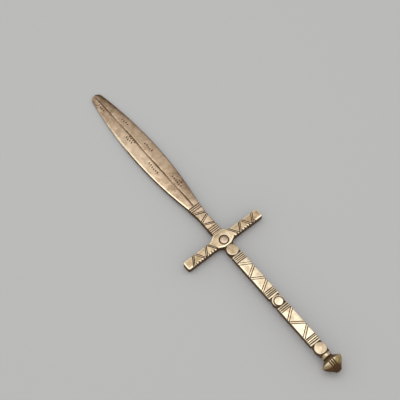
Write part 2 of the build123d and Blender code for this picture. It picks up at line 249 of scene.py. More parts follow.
class Shade:
    """A value in a material's node tree; sums and products of it add Math nodes."""

    def __init__(self, tree, socket=None):
        self.tree = tree
        self.socket = socket

    def node(self, kind, settings, inputs, output=0):
        """Adds a node with its settings, then its sockets' values or links; gives one output."""
        made = self.tree.nodes.new(kind)
        for name, setting in settings.items():
            setattr(made, name, setting)
        for name, value in inputs.items():
            if isinstance(value, Shade):
                self.tree.links.new(value.socket, made.inputs[name])
            else:
                made.inputs[name].default_value = value
        return Shade(self.tree, made.outputs[output])

    def math(self, operation, *values):
        return self.node("ShaderNodeMath", {"operation": operation}, dict(enumerate(values)))

    def __add__(self, other):
        return self.math("ADD", self, other)

    def __sub__(self, other):
        return self.math("SUBTRACT", self, other)

    def __rsub__(self, other):
        return self.math("SUBTRACT", other, self)

    def __mul__(self, other):
        return self.math("MULTIPLY", self, other)

    __radd__ = __add__
    __rmul__ = __mul__

    def ease(self, low, high):
        """Smooth step from 0 at low to 1 at high."""
        sockets = {"Value": self, "From Min": low, "From Max": high}
        return self.node("ShaderNodeMapRange", {"interpolation_type": "SMOOTHSTEP"}, sockets)

    def blend(self, first, second):
        """Colour that goes from first to second as this value goes from 0 to 1."""
        sockets = {0: self, 6: first, 7: second}
        return self.node("ShaderNodeMix", {"data_type": "RGBA"}, sockets, 2)

    def noise(self, scale, detail, distortion=0.0):
        """Noise over this place; scale counts its lumps in a metre."""
        sockets = {"Vector": self, "Scale": scale, "Detail": detail, "Distortion": distortion}
        return self.node("ShaderNodeTexNoise", {}, sockets)

    def stretch(self, x, y, z):
        """This place with its axes scaled."""
        return self.node("ShaderNodeMapping", {}, {"Vector": self, "Scale": (x, y, z)})

    def along(self, axis):
        """This place's X, Y or Z."""
        return self.node("ShaderNodeSeparateXYZ", {}, {0: self}, axis)

    def feed(self, socket):
        self.tree.links.new(self.socket, socket)


# The brown serves both as patina and as painted shade; the pale brass both as wear and as a painted
# highlight.
PATINA_AND_SHADE_BROWN = (0.085, 0.038, 0.010, 1)
RUBBED_AND_HIGHLIGHT_BRASS = (0.87, 0.745, 0.545, 1)
BUMP_HEIGHT = 0.06 * MM
SHARP_ANGLE = radians(28)


def aged_brass(name, bright, dull, roughness, tarnish=None):
    """Brass worn bright in places, dull in blotches, brushed along X, brown where patina and
    painted shade lie, and pale where it is rubbed and where a highlight is painted.
    tarnish(place) may add brown as a value from 0 to 1."""
    material = bpy.data.materials.new(name)
    material.use_nodes = True
    shader = material.node_tree.nodes["Principled BSDF"]
    blank = Shade(material.node_tree)
    place = blank.node("ShaderNodeTexCoord", {}, {}, "Object")
    patina = blank.node("ShaderNodeAttribute", {"attribute_name": "patina"}, {}, "Fac")

    blotches = place.noise(260, 4, 0.6).ease(0.32, 0.68)
    pits = place.noise(2600, 2).ease(0.60, 0.78)
    hairlines = place.stretch(0.05, 1, 1).noise(5200, 2)
    hammering = place.noise(420, 1)
    ragged = (place.noise(1900, 3) - 0.5) * 0.45
    # The patina attribute holds patina and painted shade above 0, and wear and painted highlights
    # below 0.
    brown = (patina + ragged).ease(0.05, 0.42)
    rubbed = (ragged - patina).ease(0.15, 0.80)
    if tarnish:
        brown = brown.math("MAXIMUM", brown, tarnish(place))

    colour = blotches.blend(dull, bright)
    colour = rubbed.blend(colour, RUBBED_AND_HIGHLIGHT_BRASS)
    colour = (pits * 0.35).blend(colour, PATINA_AND_SHADE_BROWN)
    colour = (brown * 0.95).blend(colour, PATINA_AND_SHADE_BROWN)
    colour.feed(shader.inputs["Base Color"])
    rough = roughness + (1 - blotches) * 0.10 + (hairlines - 0.5) * 0.25 + brown * 0.30
    rough.feed(shader.inputs["Roughness"])
    (1 - brown * 0.3).feed(shader.inputs["Metallic"])

    relief = hammering * 1.2 + hairlines * 0.10 - pits * 0.12 - brown * 0.25
    sockets = {"Strength": 0.5, "Distance": BUMP_HEIGHT, "Height": relief}
    blank.node("ShaderNodeBump", {}, sockets).feed(shader.inputs["Normal"])
    return material


def finish_piece(bm, node, material, surface):
    """Closes a mesh, lays patina in its cuts and patina, painted shade and painted highlights on
    its surface, and puts it in its node's place. surface(face, vert) is 1 under full patina and
    painted shade, 0 on bare brass and -1 where rubbed bright and given a painted highlight."""
    bmesh.ops.remove_doubles(bm, verts=bm.verts, dist=MERGE_DISTANCE)
    bmesh.ops.recalc_face_normals(bm, faces=bm.faces)
    bm.normal_update()
    cut = bm.verts.layers.float["cut"]
    patina = bm.loops.layers.float.new("patina")
    for face in bm.faces:
        for loop in face.loops:
            over, mark = surface(face, loop.vert), loop.vert[cut]
            if mark > 0:
                over = max(mark, over)
            elif over <= 0:
                over = min(mark, over)
            loop[patina] = over
    mesh = bpy.data.meshes.new(f"worn_{node}")
    bm.to_mesh(mesh)
    bm.free()
    mesh.shade_smooth()
    mesh.set_sharp_from_angle(angle=SHARP_ANGLE)
    mesh.materials.append(material)
    piece = bpy.data.objects.new(f"worn_{node}", mesh)
    bpy.context.scene.collection.objects.link(piece)
    normals = piece.modifiers.new("flat_faces", "WEIGHTED_NORMAL")
    normals.keep_sharp = True
    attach(piece, "root")
    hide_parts(node)


def leaf_half_width(x):
    """Outline of the leaf: an arc back from the belly, a longer one forward, and a round tip."""
    if x < LEAF_BELLY:
        reach, drop = LEAF_BELLY - LEAF_ROOT, LEAF_HALF_WIDTH - LEAF_ROOT_HALF_WIDTH
        radius = (reach**2 + drop**2) / (2 * drop)
        return LEAF_HALF_WIDTH - radius + sqrt(radius**2 - (LEAF_BELLY - x) ** 2)
    tip_centre = LEAF_TIP - LEAF_TIP_RADIUS
    reach, drop = tip_centre - LEAF_BELLY, LEAF_HALF_WIDTH - LEAF_TIP_RADIUS
    radius = (reach**2 + LEAF_HALF_WIDTH**2 - LEAF_TIP_RADIUS**2) / (2 * drop)
    meet = LEAF_BELLY + reach * radius / hypot(reach, radius - LEAF_HALF_WIDTH)
    if x < meet:
        return LEAF_HALF_WIDTH - radius + sqrt(radius**2 - (x - LEAF_BELLY) ** 2)
    return sqrt(max(0, LEAF_TIP_RADIUS**2 - (x - tip_centre) ** 2))


def leaf_crown(x):
    """Half thickness on the midline, thinning to the tip."""
    if x < LEAF_BELLY:
        share = (x - LEAF_ROOT) / (LEAF_BELLY - LEAF_ROOT)
        return LEAF_ROOT_CROWN + (LEAF_BELLY_CROWN - LEAF_ROOT_CROWN) * share
    share = (x - LEAF_BELLY) / (LEAF_TIP - LEAF_BELLY)
    return LEAF_BELLY_CROWN + (LEAF_TIP_CROWN - LEAF_BELLY_CROWN) * share


def leaf_point(x, column):
    """Distance from the midline and height above the axis of one column of the leaf's face:
    0 lies in the scraped line, 1 on its lip, 2 on its shoulder and the last two on the edge."""
    half = leaf_half_width(x)
    slim = min(1, half / LEAF_TIP_RADIUS)
    if column == LEAF_COLUMNS:
        return half, LEAF_EDGE
    shoulder, ground = MIDLINE_SHOULDER * slim, half - GROUND_WIDTH * slim
    flank = shoulder + (ground - shoulder) * (column - 2) / (LEAF_COLUMNS - 4)
    set_out = {0: 0, 1: MIDLINE_HALF_WIDTH * slim}
    set_out[LEAF_COLUMNS - 1] = half - LEAF_EDGE_BEVEL * slim
    sunk = {LEAF_COLUMNS - 1: GROUND_DROP}
    if x < MIDLINE_END:
        sunk.update({0: MIDLINE_DEPTH, 1: MIDLINE_SHOULDER_DROP})
    y = set_out.get(column, flank)
    rounded = LEAF_ROUNDING * y**2 / half if half > 0 else 0
    height = leaf_crown(x) - rounded - sunk.get(column, 0)
    return y, LEAF_EDGE + (height - LEAF_EDGE) * slim


def punched_marks():
    """Middle and size of each mark, in rows from one x to another at their own y."""
    punch = Random(7)
    marks = []
    for x_start, x_end, y_row in PUNCHED_ROWS:
        for number in range(round((x_end - x_start) / MARK_PITCH)):
            x = x_start + (number + 0.5) * MARK_PITCH
            y = y_row + punch.uniform(-MARK_SLIP, MARK_SLIP)
            marks.append((x, y, punch.uniform(*MARK_SIZES)))
    return marks


def dent(x, y, marks):
    """How deep a point of the leaf lies in one of the slanting marks, from 0 to 1."""
    deepest = 0
    for mark_x, mark_y, size in marks:
        along = (y - mark_y) / (MARK_HALF_LENGTH * size)
        across = (x - mark_x + (y - mark_y) * MARK_SLANT) / MARK_HALF_WIDTH
        deepest = max(deepest, 1 - along**2 - across**2)
    return deepest


def add_leaf(bm):
    """Lens-shaped leaf: a grid for the front, its twin for the back and a wall round the edge."""
    layer = bm.verts.layers.float["cut"]
    marks = punched_marks()
    front = bmesh.ops.create_grid(bm, x_segments=LEAF_ROWS, y_segments=2 * LEAF_COLUMNS,
                                  size=1)["verts"]
    for vert in front:
        x = LEAF_ROOT + (LEAF_TIP - LEAF_ROOT) * sin((vert.co.x + 1) * pi / 4)
        column = round(abs(vert.co.y) * LEAF_COLUMNS)
        y, height = leaf_point(x, column)
        y = copysign(y, vert.co.y)
        if column < 3 and x < MIDLINE_END:
            y += MIDLINE_WANDER * sin(x / MIDLINE_WANDER_LENGTH)
        if column < 2 and x < MIDLINE_END:
            patina = MIDLINE_PATINA + MIDLINE_PATINA_SPREAD * sin(x / MIDLINE_PATCH)
            vert[layer] = patina * (MIDLINE_LIP_PATINA if column else 1)
        depth = dent(x, y, marks)
        vert[layer] = max(vert[layer], MARK_PATINA * depth)
        vert.co = (x, y, AXIS_HEIGHT + height - MARK_DEPTH * depth)
    bmesh.ops.remove_doubles(bm, verts=front, dist=MERGE_DISTANCE)
    faces = [face for face in bm.faces if face.calc_center_median().x > LEAF_ROOT]
    twin = bmesh.ops.duplicate(bm, geom=faces)["geom"]
    for vert in points_of(twin):
        vert.co.z = 2 * AXIS_HEIGHT - vert.co.z
    bmesh.ops.bridge_loops(bm, edges=[edge for edge in bm.edges if edge.is_boundary])


def shank_level(x):
    share = (x - HUB_FRONT) / SHANK_LENGTH
    return SHANK_THICKNESS / 2 + (LEAF_ROOT_CROWN - SHANK_THICKNESS / 2) * share


blade = new_blank()
flare_start = LEAF_ROOT - SHANK_FLARE_LENGTH
shank_edges = add_bar(blade, [
    (HUB_FRONT, SHANK_WIDTH, SHANK_THICKNESS),
    (flare_start, SHANK_WIDTH, 2 * shank_level(flare_start)),
    (LEAF_ROOT, 2 * LEAF_ROOT_HALF_WIDTH, 2 * LEAF_ROOT_CROWN),
])
soften(blade, shank_edges, SHANK_ROUNDING)
band_back = HUB_FRONT + SHANK_BAND_INSET
zigzag_back = band_back + (SHANK_BACK_LINE_COUNT - 0.5) * SHANK_BAND_PITCH
zigzag_front = LEAF_ROOT - SHANK_FRONT_LINE_COUNT * SHANK_BAND_PITCH
reach = LEAF_ROOT_HALF_WIDTH
for face_side in (1, -1):
    bands = band(band_back, SHANK_BAND_PITCH, SHANK_BACK_LINE_COUNT, reach)
    bands += band(LEAF_ROOT - CUT_WIDTH, -SHANK_BAND_PITCH, SHANK_FRONT_LINE_COUNT, reach)
    engrave(blade, bands, CUT_WIDTH, rub_and_highlight=0, side=face_side, level=shank_level)
    strokes = zigzag(zigzag_back, zigzag_front, SHANK_STROKE_COUNT, NARROW_STROKE_GAP, reach, -1)
    engrave(blade, strokes, FINE_CUT_WIDTH, BURR_RUB_AND_HIGHLIGHT, face_side, shank_level)
add_leaf(blade)
tang_parts = [(TANG_STEP, HUB_FRONT, GUARD_TANG_WIDTH), (POMMEL_FACE, TANG_STEP, TANG_WIDTH)]
for x_back, x_front, width in tang_parts:
    tang_edges = add_bar(blade, [(x, width, TANG_THICKNESS) for x in (x_back, x_front)])
    soften(blade, tang_edges, TANG_ROUNDING)
tang_end = Matrix.Translation((POMMEL_FACE - TANG_END_LENGTH / 2, 0, AXIS_HEIGHT))
bmesh.ops.create_cone(blade, cap_ends=True, segments=TANG_END_STEPS, radius1=TANG_END_DIAMETER / 2,
                      radius2=TANG_END_DIAMETER / 2, depth=TANG_END_LENGTH,
                      matrix=tang_end @ Matrix.Rotation(pi / 2, 4, "Y"))

TARNISH_START = 86 * MM
TARNISH = 0.6
# Patina and painted shade on the steep edge walls of the leaf.
SIDE_PATINA_AND_SHADE = 0.75
SIDE_SLOPE = 0.85
SIDE_BLEND = 0.1
SHANK_RUB = 0.28
# A painted highlight along the ground edge on one side of the leaf, fading towards the tip.
EDGE_HIGHLIGHT = 0.95
EDGE_HIGHLIGHT_FADE = 50 * MM
PATCH_PATINA = 0.15
PATCH_MIDDLE = 47 * MM
PATCH_REACH = 17 * MM
# Painted shade along the other edge of the leaf, deeper towards the tip.
EDGE_SHADE = 0.16
TIP_SHADE = 0.34
EDGE_SHADE_WIDTH = 5.5 * MM
# Painted sheen over the middle of one half of the leaf.
FLANK_SHEEN = 0.34
FLANK_SHEEN_MIDDLE = 84 * MM
FLANK_SHEEN_REACH = 36 * MM


def tip_tarnish(place):
    """Tarnish in blotches, thicker towards the tip."""
    x = place.along("X")
    return x.ease(TARNISH_START, LEAF_TIP) * place.noise(330, 3).ease(0.30, 0.60) * TARNISH


def blade_surface(face, vert):
    """Patina and painted shade on the sides of the leaf, painted shade along one edge and over that
    half towards the tip, a painted highlight along the other edge and painted sheen on its half.
    """
    middle = face.calc_center_median()
    over = PATCH_PATINA * max(0, 1 - ((vert.co.x - PATCH_MIDDLE) / PATCH_REACH) ** 2)
    if middle.x < LEAF_ROOT:
        over = -SHANK_RUB
    # Painted highlight along this ground edge.
    elif middle.y > leaf_half_width(middle.x) - GROUND_WIDTH:
        over = -EDGE_HIGHLIGHT * min(1, (LEAF_TIP - middle.x) / EDGE_HIGHLIGHT_FADE)
    # Painted sheen on this half of the leaf.
    elif middle.y > 0:
        over -= FLANK_SHEEN * max(0, 1 - ((vert.co.x - FLANK_SHEEN_MIDDLE) / FLANK_SHEEN_REACH) ** 2)
    # Painted shade along this edge and half, deeper towards the tip.
    else:
        to_tip = max(0, (vert.co.x - TARNISH_START) / (LEAF_TIP - TARNISH_START))
        from_edge = (leaf_half_width(vert.co.x) + vert.co.y) / EDGE_SHADE_WIDTH
        over += (EDGE_SHADE + TIP_SHADE * to_tip) * max(0, 1 - from_edge)
    # Patina and painted shade on the steep edge walls.
    steep = min(1, max(0, (SIDE_SLOPE - abs(face.normal.z)) / SIDE_BLEND))
    return over + (SIDE_PATINA_AND_SHADE - over) * steep


bright_leaf, dull_leaf = (0.66, 0.495, 0.345, 1), (0.46, 0.335, 0.22, 1)
blade_brass = aged_brass("blade_brass", bright_leaf, dull_leaf, roughness=0.34, tarnish=tip_tarnish)
finish_piece(blade, "blade", blade_brass, blade_surface)

# Guard: a straight brass cross bar with an eight-sided hub, slotted for the tang.
# The handle side of its arms is nicked with a file and its faces carry double-stroke zigzags;
# a round seat is sunk in each face of the hub for the rivet.
GUARD_WIDTH = 6.2 * MM
GUARD_CORNER = 1.2 * MM
GUARD_ROUNDING = 0.3 * MM
GUARD_PLAIN_END = 3.6 * MM
GUARD_STROKE_COUNT = 4
GUARD_CUT_WIDTH = 0.74 * MM
GUARD_MIDDLE = 0.8 * MM
HUB_FRONT_FLAT = 7 * MM
HUB_FRONT_SPREAD = 15 * MM
HUB_BACK_FLAT = 4.8 * MM
HUB_BACK_SPREAD = 11.8 * MM
WORN_WIDTH = 0.85 * MM
WORN_DROP = 0.22 * MM
LEVEL = 0.99
CORNER_ANGLE = radians(60)
WALL_SLOPE = 0.35
# Patina and painted shade on upright sides and low places, full over the middle half of the
# thickness.
WALL_PATINA_AND_SHADE = 0.9
LOW_SHARE = 0.6
MARGIN_SLOPE = 0.985
# Margins rubbed bright and given a painted highlight.
MARGIN_RUB_AND_HIGHLIGHT = 0.9
NICK_PITCH = 2.0 * MM
NICK_HALF_WIDTH = 0.65 * MM
NICK_DEPTH = 0.9 * MM
NICK_SHALLOWEST = 0.6
NICK_PATINA = 0.95
SEAT_RADIUS = 3.3 * MM
SEAT_DEPTH = 0.5 * MM
SEAT_PATINA = 0.9
HUB_RUB = 0.65
HUB_RUB_REACH = 10 * MM
HUB_RUB_MIDDLE = Vector((0, -2.5 * MM))
FAR_ARM_PATINA = 0.12
TURN_STEPS = 96

guard_end = guard_high.y
arm_front, arm_back = GUARD_MIDDLE + GUARD_WIDTH / 2, GUARD_MIDDLE - GUARD_WIDTH / 2
hub_end = HUB_BACK_SPREAD / 2
arm_start = hub_end - 2 * CUT_WIDTH
last_nick = guard_end - GUARD_PLAIN_END
half_guard = (guard_high.z - guard_low.z) / 2


def wear_margins(bm):
    """Slopes a margin of the top and bottom faces down to their edges, as handling wears it."""
    bm.normal_update()
    faces = [face for face in bm.faces if abs(face.normal.z) > LEVEL]
    outer = {vert for face in faces for vert in face.verts}
    bmesh.ops.inset_individual(bm, faces=faces, thickness=WORN_WIDTH, use_even_offset=True)
    for vert in outer:
        vert.co.z -= copysign(WORN_DROP, vert.co.z - AXIS_HEIGHT)
    bm.normal_update()


def square_edges(bm):
    return [edge for edge in bm.edges if edge.calc_face_angle(0) > CORNER_ANGLE]


def divide_walls(bm):
    """Lines on the upright sides between which patina and painted shade lie thick."""
    for side in (1, -1):
        split(bm, bm.faces[:], (0, 0, AXIS_HEIGHT + side * half_guard / 2), (0, 0, 1))


def handled_and_shaded_surface(face, vert):
    """Patina and painted shade on upright sides and low places, thinning towards the faces, and
    margins rubbed bright with a painted highlight.
    """
    height = abs(vert.co.z - AXIS_HEIGHT) / half_guard
    if abs(face.normal.z) < WALL_SLOPE or height < LOW_SHARE:
        return WALL_PATINA_AND_SHADE * min(1, 2 * (1 - height))
    return -MARGIN_RUB_AND_HIGHLIGHT if abs(face.normal.z) < MARGIN_SLOPE else 0


guard = new_blank()
corners = [
    (guard_high.x, HUB_FRONT_FLAT / 2),
    (arm_front, HUB_FRONT_SPREAD / 2),
    (arm_front, guard_end),
    (arm_back, guard_end),
    (arm_back, hub_end),
    (guard_low.x, HUB_BACK_FLAT / 2),
]
corners += [(x, -y) for x, y in reversed(corners)]
outline = [guard.verts.new((x, y, guard_low.z)) for x, y in corners]
base = guard.faces.new(outline)
raised = bmesh.ops.extrude_face_region(guard, geom=[base])["geom"]
bmesh.ops.translate(guard, vec=(0, 0, guard_high.z - guard_low.z), verts=points_of(raised))
bmesh.ops.recalc_face_normals(guard, faces=guard.faces)
uprights = [edge for edge in guard.edges
            if all(abs(vert.co.y) > guard_end - MERGE_DISTANCE for vert in edge.verts)
            and edge.verts[0].co.z != edge.verts[1].co.z]
soften(guard, uprights, GUARD_CORNER)
wear_margins(guard)
soften(guard, square_edges(guard), GUARD_ROUNDING)
guard.normal_update()


def on_arm(face):
    return abs(face.calc_center_median().y) > arm_start


for end_side in (1, -1):
    split(guard, guard.faces[:], (0, end_side * arm_start, 0), (0, 1, 0))

for face_side in (1, -1):
    hub_faces = [face for face in guard.faces
                 if face.normal.z * face_side > LEVEL and not on_arm(face)]
    hub_face = max(hub_faces, key=lambda face: face.calc_area())
    hub_edges = hub_face.edges[:]
    guard.faces.remove(hub_face)
    level = AXIS_HEIGHT + face_side * half_guard
    ring = bmesh.ops.create_circle(guard, segments=TURN_STEPS, radius=SEAT_RADIUS,
                                   matrix=Matrix.Translation((0, 0, level)))["verts"]
    ring_edges = list({edge for vert in ring for edge in vert.link_edges})
    bmesh.ops.triangle_fill(guard, edges=hub_edges + ring_edges, use_beauty=True)
    floor_verts = points_of(bmesh.ops.extrude_edge_only(guard, edges=ring_edges)["geom"])
    bmesh.ops.translate(guard, vec=(0, 0, -face_side * SEAT_DEPTH), verts=floor_verts)
    guard.faces.new(sorted(floor_verts, key=lambda vert: atan2(vert.co.y, vert.co.x)))
    for vert in floor_verts:
        vert[guard.verts.layers.float["cut"]] = SEAT_PATINA
bmesh.ops.recalc_face_normals(guard, faces=guard.faces)

for face_side in (1, -1):
    arm_strokes = []
    for arm_side in (1, -1):
        for ends in zigzag(arm_side * hub_end, arm_side * last_nick, GUARD_STROKE_COUNT,
                           NARROW_STROKE_GAP, GUARD_WIDTH / 2, -arm_side):
            arm_strokes.append([(GUARD_MIDDLE + across, along) for along, across in ends])
    engrave(guard, arm_strokes, GUARD_CUT_WIDTH, BURR_RUB_AND_HIGHLIGHT, face_side,
            lambda x: half_guard, on_arm)


def nick_edge(z_side):
    """Files a row of nicks across the edge of both arms that faces the handle."""
    reach = NICK_DEPTH * sqrt(2)
    corner = Vector((arm_back, 0, AXIS_HEIGHT + z_side * half_guard))
    out = Vector((-1, 0, z_side)).normalized()

    def near(face):
        return on_arm(face) and (face.calc_center_median() - corner).dot(out) > -reach

    layer = guard.verts.layers.float["cut"]
    for normal in (Vector((-1, 0, 0)), Vector((0, 0, z_side))):
        faces = [face for face in guard.faces if on_arm(face)]
        split(guard, faces, corner - normal * reach, normal)
    for number in range(int((last_nick - hub_end) / NICK_PITCH)):
        for arm_side in (1, -1):
            y = arm_side * (hub_end + (number + 0.5) * NICK_PITCH) + 2 * slip()
            depth = NICK_DEPTH * hand.uniform(NICK_SHALLOWEST, 1)
            for offset in (-NICK_HALF_WIDTH, 0, NICK_HALF_WIDTH):
                faces = [face for face in guard.faces if near(face)]
                split(guard, faces, (0, y + offset, 0), (0, 1, 0))
            for vert in guard.verts:
                share = 1 - abs(vert.co.y - y) / NICK_HALF_WIDTH
                over = (vert.co - corner).dot(out) + depth * share
                if share > 0 and over > 0:
                    vert.co -= out * over
                    vert[layer] = max(vert[layer], NICK_PATINA * share)


def guard_surface(face, vert):
    """Patina and painted shade on the sides, margins rubbed bright with a painted highlight, its
    hub rubbed by the thumb and one arm a little browner.
    """
    over = handled_and_shaded_surface(face, vert)
    if over:
        return over
    if vert.co.y < -HUB_RUB_REACH + HUB_RUB_MIDDLE.y:
        return FAR_ARM_PATINA * vert.co.y / guard_low.y
    return -HUB_RUB * max(0, 1 - (vert.co.xy - HUB_RUB_MIDDLE).length / HUB_RUB_REACH)


for face_side in (1, -1):
    nick_edge(face_side)
divide_walls(guard)
bright_guard, dull_guard = (0.56, 0.43, 0.28, 1), (0.38, 0.27, 0.155, 1)
guard_brass = aged_brass("guard_brass", bright_guard, dull_guard, roughness=0.34)
finish_piece(guard, "guard", guard_brass, guard_surface)

# Guard rivet: a brass pin through hub and tang, with a low domed button in the seat of each
# face, turned on the head side and peened over on the back.
GUARD_RIVET_RADIUS = 2.55 * MM
GUARD_RIVET_PIN_RADIUS = 1.0 * MM
GUARD_RIVET_SQUARENESS = 0.5
RIVET_STEPS = 64
DOME_POINTS = 14
SHOULDER_SLOPES = (0.3, 0.93)
SHOULDER_RUB = 0.7


def turn(bm, profile, centre, axis, radial, steps):
    """Turns a profile of (distance along the axis, radius) points about an axis."""
    points = [bm.verts.new(centre + axis * along + radial * radius) for along, radius in profile]
    edges = [bm.edges.new(pair) for pair in zip(points, points[1:])]
    bmesh.ops.spin(bm, geom=points + edges, cent=centre, axis=axis, angle=2 * pi, steps=steps,
                   use_merge=True)
    bmesh.ops.remove_doubles(bm, verts=bm.verts, dist=MERGE_DISTANCE)
    bmesh.ops.recalc_face_normals(bm, faces=bm.faces)
    bm.normal_update()


def button(seat, top, radius, squareness):
    """Profile of a domed head from its top down to its seat; a low squareness is a flat top."""
    angles = [pi / 2 * (1 - step / DOME_POINTS) for step in range(DOME_POINTS + 1)]
    return [(seat + (top - seat) * sin(angle) ** squareness, radius * cos(angle) ** squareness)
            for angle in angles]


def rivet_surface(face, vert):
    """The shoulders of the buttons rubbed bright."""
    steep, flat = SHOULDER_SLOPES
    return -SHOULDER_RUB if steep < abs(face.normal.z) < flat else 0


def make_rivet(node, radius, pin_radius, seat, squareness, brass):
    """Pin with a button at each end; the node's box gives how far they stand out."""
    low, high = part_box(node)
    centre = Vector(((low.x + high.x) / 2, 0, AXIS_HEIGHT))
    head = button(seat, high.z - AXIS_HEIGHT, radius, squareness)
    tail = button(seat, AXIS_HEIGHT - low.z, radius, squareness)
    profile = head + [(seat, pin_radius), (-seat, pin_radius)]
    profile += [(-along, across) for along, across in reversed(tail)]
    rivet = new_blank()
    turn(rivet, profile, centre, Vector((0, 0, 1)), Vector((1, 0, 0)), RIVET_STEPS)
    finish_piece(rivet, node, brass, rivet_surface)


bright_button, dull_button = (0.55, 0.43, 0.33, 1), (0.44, 0.33, 0.24, 1)
guard_rivet_brass = aged_brass("guard_rivet_brass", bright_button, dull_button, roughness=0.30)
make_rivet("guard_rivet", GUARD_RIVET_RADIUS, GUARD_RIVET_PIN_RADIUS, half_guard - SEAT_DEPTH,
           GUARD_RIVET_SQUARENESS, guard_rivet_brass)

# Beads: three brass blocks threaded on the tang, their corners filed down from both faces to
# leave a round boss over a web darkened with patina and painted shade, rubbed smooth by the
# hand, the one at the guard least.
# The middle one is pinned to the tang by a flat-headed rivet, with a ring cut round its head.
BEAD_STEPS = 96
BEAD_FACE_POINTS = 24
BEAD_RIM_POINTS = 8
BEAD_ROUNDING = 0.7 * MM
BEAD_CROWN = 0.12 * MM
WEB_WIDTH = 6.8 * MM
WEB_THICKNESS = 2.4 * MM
RIVET_RING = 2.95 * MM
RIVET_RING_HALF_WIDTH = 0.36 * MM
RIVET_RING_DEPTH = 0.25 * MM
BEAD_RIVET_RADIUS = 2.65 * MM
BEAD_RIVET_PIN_RADIUS = 0.6 * MM
BEAD_RIVET_SQUARENESS = 0.3

rivet_low, rivet_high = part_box("bead_rivet")
middle_low, middle_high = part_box("middle_bead")


def boss(half_height, radius):
    """Profile of a boss with faintly crowned faces and round rims, from top to bottom."""
    crest, flat = half_height - BEAD_CROWN, radius - BEAD_ROUNDING
    shares = [step / BEAD_FACE_POINTS for step in range(BEAD_FACE_POINTS + 1)]
    top = [(half_height - BEAD_CROWN * share**2, flat * share) for share in shares]
    for step in range(1, BEAD_RIM_POINTS + 1):
        angle = pi / 2 * step / BEAD_RIM_POINTS
        top.append((crest - BEAD_ROUNDING * (1 - cos(angle)), flat + BEAD_ROUNDING * sin(angle)))
    return top + [(-along, across) for along, across in reversed(top)]


def cut_ring(bead):
    """V ring in both faces of the middle bead, on the axis of its rivet."""
    layer = bead.verts.layers.float["cut"]
    rivet_x = (rivet_low.x + rivet_high.x) / 2
    for vert in bead.verts:
        off_ring = abs(hypot(vert.co.x - rivet_x, vert.co.y) - RIVET_RING)
        share = max(0, 1 - off_ring / RIVET_RING_HALF_WIDTH)
        vert.co.z -= copysign(RIVET_RING_DEPTH * share, vert.co.z - AXIS_HEIGHT)
        vert[layer] = CUT_PATINA * share


def make_bead(node, brass):
    """Boss cut square at the ends of its node's box, on a web; the middle one has its ring."""
    low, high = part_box(node)
    bead = new_blank()
    profile = boss((high.z - low.z) / 2, high.y)
    turn(bead, profile, (low + high) / 2, Vector((0, 0, 1)), Vector((1, 0, 0)), BEAD_STEPS)
    for end, outward in ((low, -1), (high, 1)):
        geometry = bead.verts[:] + bead.edges[:] + bead.faces[:]
        flat = bmesh.ops.bisect_plane(bead, geom=geometry, dist=MERGE_DISTANCE, plane_co=end,
                                      plane_no=(outward, 0, 0), clear_outer=True)["geom_cut"]
        rim = [part for part in flat if isinstance(part, bmesh.types.BMEdge)]
        bmesh.ops.contextual_create(bead, geom=rim)
    if node == "middle_bead":
        cut_ring(bead)
    add_bar(bead, [(x, WEB_WIDTH, WEB_THICKNESS) for x in (low.x, high.x)])
    divide_walls(bead)
    # Patina and painted shade on the sides and web; painted highlights on the margins.
    finish_piece(bead, node, brass, handled_and_shaded_surface)


brown_bead, dark_bead = (0.50, 0.39, 0.26, 1), (0.34, 0.25, 0.155, 1)
bright_bead, dull_bead = (0.565, 0.465, 0.33, 1), (0.44, 0.34, 0.225, 1)
bright_disc, dull_disc = (0.71, 0.635, 0.48, 1), (0.59, 0.50, 0.355, 1)
make_bead("upper_bead", aged_brass("upper_bead_brass", brown_bead, dark_bead, roughness=0.34))
make_bead("middle_bead", aged_brass("middle_bead_brass", bright_bead, dull_bead, roughness=0.28))
make_bead("lower_bead", aged_brass("lower_bead_brass", bright_bead, dull_bead, roughness=0.28))
bead_rivet_brass = aged_brass("bead_rivet_brass", bright_disc, dull_disc, roughness=0.26)
make_rivet("bead_rivet", BEAD_RIVET_RADIUS, BEAD_RIVET_PIN_RADIUS,
           (middle_high.z - middle_low.z) / 2, BEAD_RIVET_SQUARENESS, bead_rivet_brass)

# Grip blocks: two brass bars slotted for the tang, filed square and rubbed down at their edges.
# Each face is engraved with a band of lines at both ends and a double-stroke zigzag between.
GRIP_ROUNDING = 0.35 * MM
WIDE_STROKE_GAP = 1.5 * MM
BAND_PITCH = 1.2 * MM
BAND_INSET = 1.3 * MM
BAND_CUT_WIDTH = 0.9 * MM


def make_grip(node, front_lines, stroke_count, back_lines, first, rub_and_highlight):
    """Block from its node's box; its last argument, from 0 to 1, is how strong a highlight is
    painted on its back end.
    """
    low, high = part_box(node)
    width, thickness = high.y - low.y, high.z - low.z
    grip = new_blank()
    add_bar(grip, [(low.x, width, thickness), (high.x, width, thickness)])
    wear_margins(grip)
    soften(grip, square_edges(grip), GRIP_ROUNDING)
    zigzag_front = high.x - BAND_INSET - (front_lines - 1) * BAND_PITCH
    zigzag_back = low.x + BAND_INSET + (back_lines - 0.5) * BAND_PITCH
    for face_side in (1, -1):
        bands = band(high.x - BAND_INSET, -BAND_PITCH, front_lines, high.y)
        bands += band(low.x + BAND_INSET, BAND_PITCH, back_lines, high.y)
        engrave(grip, bands, BAND_CUT_WIDTH, rub_and_highlight=0, side=face_side, level=lambda x: thickness / 2)
        strokes = zigzag(zigzag_front, zigzag_back, stroke_count, WIDE_STROKE_GAP, high.y, first)
        engrave(grip, strokes, CUT_WIDTH, BURR_RUB_AND_HIGHLIGHT, face_side, lambda x: thickness / 2)
    divide_walls(grip)

    def grip_surface(face, vert):
        # Towards its back end the block gets a painted highlight.
        return handled_and_shaded_surface(face, vert) or -rub_and_highlight * (high.x - vert.co.x) / (high.x - low.x)

    finish_piece(grip, node, grip_brass, grip_surface)


